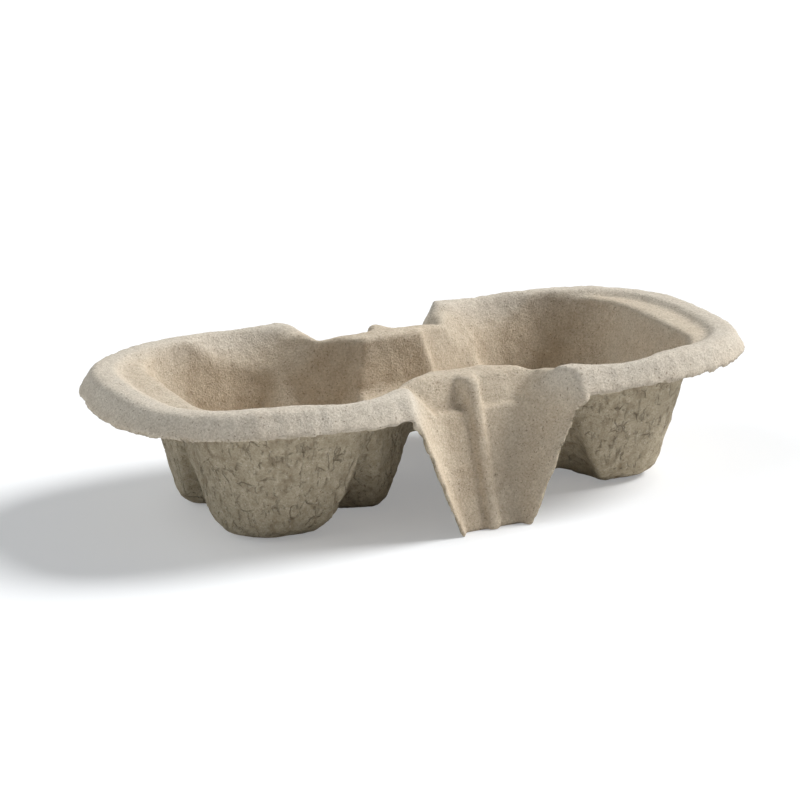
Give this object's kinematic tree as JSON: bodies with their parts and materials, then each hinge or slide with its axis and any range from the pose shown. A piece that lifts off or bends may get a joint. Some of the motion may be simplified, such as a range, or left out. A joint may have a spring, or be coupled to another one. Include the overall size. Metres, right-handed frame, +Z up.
{
  "type": "moulded pulp cup carrier",
  "caption": "Moulded pulp tray that holds takeaway cups side by side in deep fluted wells, with ribbed finger recesses at its waist and a turned-down edge.",
  "frame": {"origin": "on the ground, in the middle of the tray", "axes": "+X along the tray, from one cup to the other; +Z up, out of the wells"},
  "size_m": [0.225, 0.1042, 0.0475],
  "materials": {
    "pulp": "rough undyed moulded pulp, felt-like on the upper face and creased below"
  },
  "bodies": {
    "root": {"tray": "pulp"}
  },
  "joints": []
}
